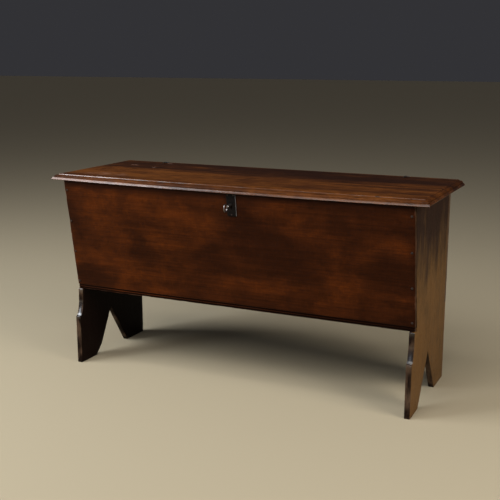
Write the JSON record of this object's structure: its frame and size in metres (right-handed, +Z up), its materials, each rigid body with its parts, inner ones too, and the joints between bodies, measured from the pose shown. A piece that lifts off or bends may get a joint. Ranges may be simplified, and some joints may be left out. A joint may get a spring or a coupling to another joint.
{
  "type": "six-plank chest",
  "caption": "Boarded oak chest with a leaning front, notched end planks as legs, a moulded hinged lid and a small iron lock with its key.",
  "frame": {"origin": "on the floor, under the middle of the box that just holds the whole chest with its key", "axes": "+X along the chest to the right of someone facing it, +Y from the front to the back, +Z up"},
  "size_m": [1.138, 0.4436, 0.5975],
  "materials": {
    "oak_front": "old oak, dark reddish brown, waxed and worn",
    "oak_lid": "old oak, warm brown, waxed and worn at the edges",
    "oak_ends": "old oak, grain upright, faded olive brown",
    "oak_inside": "dry unpolished oak",
    "wrought_iron": "hand-forged, dark with age",
    "bright_iron": "hand-filed, polished by use"
  },
  "bodies": {
    "carcass": {"left_end": "oak_ends", "right_end": "oak_ends", "front_board": "oak_front", "back_board": "oak_inside", "bottom_board": "oak_inside", "front_nail_left_1": "wrought_iron", "front_nail_left_2": "wrought_iron", "front_nail_left_3": "wrought_iron", "front_nail_left_4": "wrought_iron", "front_nail_right_1": "wrought_iron", "front_nail_right_2": "wrought_iron", "front_nail_right_3": "wrought_iron", "front_nail_right_4": "wrought_iron", "back_nail_left_1": "wrought_iron", "back_nail_left_2": "wrought_iron", "back_nail_left_3": "wrought_iron", "back_nail_left_4": "wrought_iron", "back_nail_right_1": "wrought_iron", "back_nail_right_2": "wrought_iron", "back_nail_right_3": "wrought_iron", "back_nail_right_4": "wrought_iron", "bottom_nail_1": "wrought_iron", "bottom_nail_2": "wrought_iron", "bottom_nail_3": "wrought_iron", "bottom_nail_4": "wrought_iron", "bottom_nail_5": "wrought_iron", "hinge_staple_left": "wrought_iron", "hinge_staple_right": "wrought_iron", "escutcheon": "wrought_iron", "escutcheon_tack_1": "wrought_iron", "escutcheon_tack_2": "wrought_iron", "escutcheon_tack_3": "wrought_iron", "lock_case": "wrought_iron", "lock_case_nail_1": "wrought_iron", "lock_case_nail_2": "wrought_iron", "lock_case_nail_3": "wrought_iron", "lock_case_nail_4": "wrought_iron", "lock_spring": "bright_iron"},
    "lid": {"lid": "oak_lid", "lid_catch": "wrought_iron", "catch_tack_1": "wrought_iron", "catch_tack_2": "wrought_iron", "lid_hinge_eye_left": "wrought_iron", "lid_hinge_eye_right": "wrought_iron"},
    "bolt": {"lock_bolt": "bright_iron"},
    "key": {"key": "bright_iron"}
  },
  "joints": [
    {"name": "lid_hinge", "type": "hinge", "parent": "carcass", "child": "lid", "pos_m": [0, 0.21482, 0.576], "axis": [-1, 0, 0], "range_deg": [0, 100]},
    {"name": "key_turn", "type": "hinge", "parent": "carcass", "child": "key", "pos_m": [0.022, -0.17239, 0.54177], "axis": [0, 0.9883, 0.1527], "range_deg": [0, 180]},
    {"name": "bolt_slide", "type": "slide", "parent": "carcass", "child": "bolt", "axis": [1, 0, 0], "range_m": [0, 0.012]}
  ],
  "couplings": [
    {"joint": "bolt_slide", "follows": "key_turn", "m_per_rad": 0.0038197}
  ]
}
